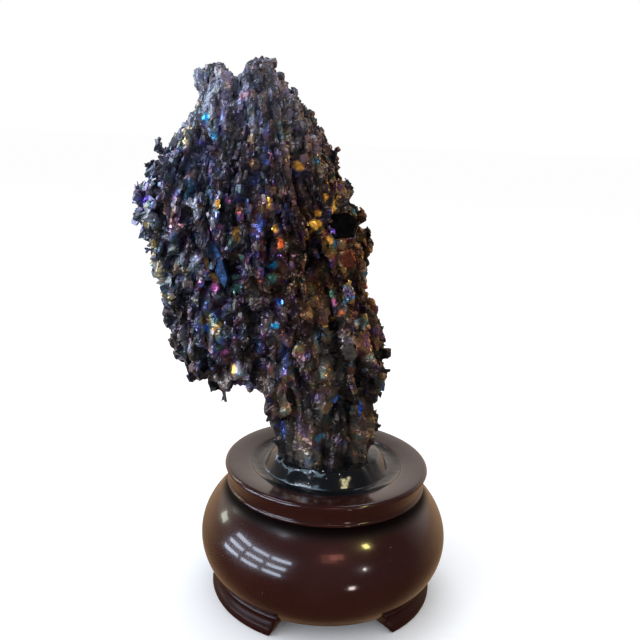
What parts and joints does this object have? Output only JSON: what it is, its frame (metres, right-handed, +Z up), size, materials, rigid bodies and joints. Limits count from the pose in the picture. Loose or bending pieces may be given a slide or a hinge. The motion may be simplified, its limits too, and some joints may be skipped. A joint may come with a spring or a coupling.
{
  "type": "silicon carbide crystal on a stand",
  "caption": "Iridescent silicon carbide crystal cluster that leans over a round lacquered wooden stand with feet, held in its recess by glossy black resin.",
  "frame": {"origin": "on the surface that the feet rest on, under the middle of the whole object's bounding box; the stand's own axis is 8.5 mm to +X of it", "axes": "+Z up, -Y towards the viewer, +X to the viewer's right; the cluster leans to -X"},
  "size_m": [0.0855, 0.0672, 0.1395],
  "materials": {
    "lacquered_wood": "gloss",
    "black_resin": "polished",
    "silicon_carbide": "gloss"
  },
  "bodies": {
    "root": {"stand": "lacquered_wood", "resin": "black_resin", "silicon_carbide_crystal": "silicon_carbide"}
  },
  "joints": []
}
